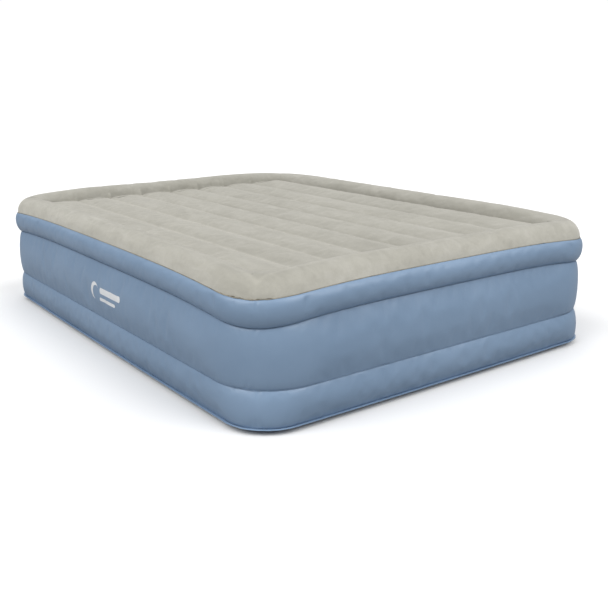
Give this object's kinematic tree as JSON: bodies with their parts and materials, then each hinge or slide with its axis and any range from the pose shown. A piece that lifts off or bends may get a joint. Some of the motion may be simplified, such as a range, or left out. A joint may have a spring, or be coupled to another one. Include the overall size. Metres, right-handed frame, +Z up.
{
  "type": "air mattress",
  "caption": "Raised double-height air bed with a flocked channelled top, inflated rim, banded PVC sides and a built-in mains pump at the head end.",
  "frame": {"origin": "middle of the footprint on the floor, under the bottom sheet", "axes": "+X across the bed, +Y along the bed towards the head end with the pump, +Z up"},
  "size_m": [1.5198, 2.0304, 0.46],
  "materials": {
    "flock": "short warm grey nap on PVC",
    "blue_pvc": "satin grey-blue PVC sheet",
    "inner_pvc": "plain PVC sheet",
    "pump_shell": "matt moulded",
    "pump_trim": "fine texture",
    "seal_rubber": "matt",
    "steel": "plain",
    "copper": "turned",
    "carbon": "matt",
    "lead_brown": "insulation",
    "lead_blue": "insulation"
  },
  "bodies": {
    "mattress": {"top_sheet": "flock", "top_seam": "flock", "upper_side_band": "blue_pvc", "middle_side_band": "blue_pvc", "lower_side_band": "blue_pvc", "bottom_sheet": "blue_pvc", "upper_waist_seam": "blue_pvc", "lower_waist_seam": "blue_pvc", "bottom_seam": "blue_pvc", "upper_divider": "inner_pvc", "lower_divider": "inner_pvc", "rim_web": "inner_pvc", "i_beam_1": "inner_pvc", "i_beam_2": "inner_pvc", "i_beam_3": "inner_pvc", "i_beam_4": "inner_pvc", "i_beam_5": "inner_pvc", "i_beam_6": "inner_pvc", "i_beam_7": "inner_pvc", "middle_web_1": "inner_pvc", "middle_web_2": "inner_pvc", "lower_web_1": "inner_pvc", "lower_web_2": "inner_pvc", "pump_flange": "blue_pvc", "pump_housing": "pump_shell", "face_plate": "pump_trim", "face_screw_1": "steel", "face_screw_2": "steel", "face_screw_3": "steel", "face_screw_4": "steel", "air_grille": "pump_shell", "cord_compartment": "pump_shell", "cord_gland": "seal_rubber", "door_hinge_pin": "steel", "switch_body": "carbon", "valve_sleeve": "pump_shell", "volute": "pump_shell", "outlet_duct": "pump_shell", "field_ring": "steel", "motor_can": "steel", "motor_end_cap": "pump_shell", "bearing_front": "steel", "bearing_rear": "steel", "brush_1": "carbon", "brush_2": "carbon", "motor_mount": "seal_rubber", "flap_hinge_pin": "steel", "live_lead": "lead_brown", "neutral_lead": "lead_blue"},
    "dial": {"mode_dial": "pump_shell", "dial_shaft": "steel", "valve_rotor": "pump_trim"},
    "door": {"cord_door": "pump_trim"},
    "blower_rotor": {"motor_shaft": "steel", "armature": "steel", "commutator": "copper", "impeller": "pump_trim"},
    "flap": {"check_flap": "seal_rubber"}
  },
  "joints": [
    {"name": "dial_turn", "type": "hinge", "parent": "mattress", "child": "dial", "pos_m": [-0.38, 1.0035, 0.2215], "axis": [0, 1, 0], "range_deg": [-90, 90]},
    {"name": "cord_door_swing", "type": "hinge", "parent": "mattress", "child": "door", "pos_m": [-0.483, 1.0039, 0.1795], "axis": [-1, 0, 0], "range_deg": [0, 90]},
    {"name": "rotor_spin", "type": "hinge", "parent": "mattress", "child": "blower_rotor", "pos_m": [-0.48, 0.9295, 0.2215], "axis": [1, 0, 0], "continuous": true},
    {"name": "flap_swing", "type": "hinge", "parent": "mattress", "child": "flap", "pos_m": [-0.38, 0.8825, 0.2475], "axis": [-1, 0, 0], "range_deg": [0, 50], "stiffness_Nm_per_rad": 0.003, "springref_deg": -11.46}
  ]
}
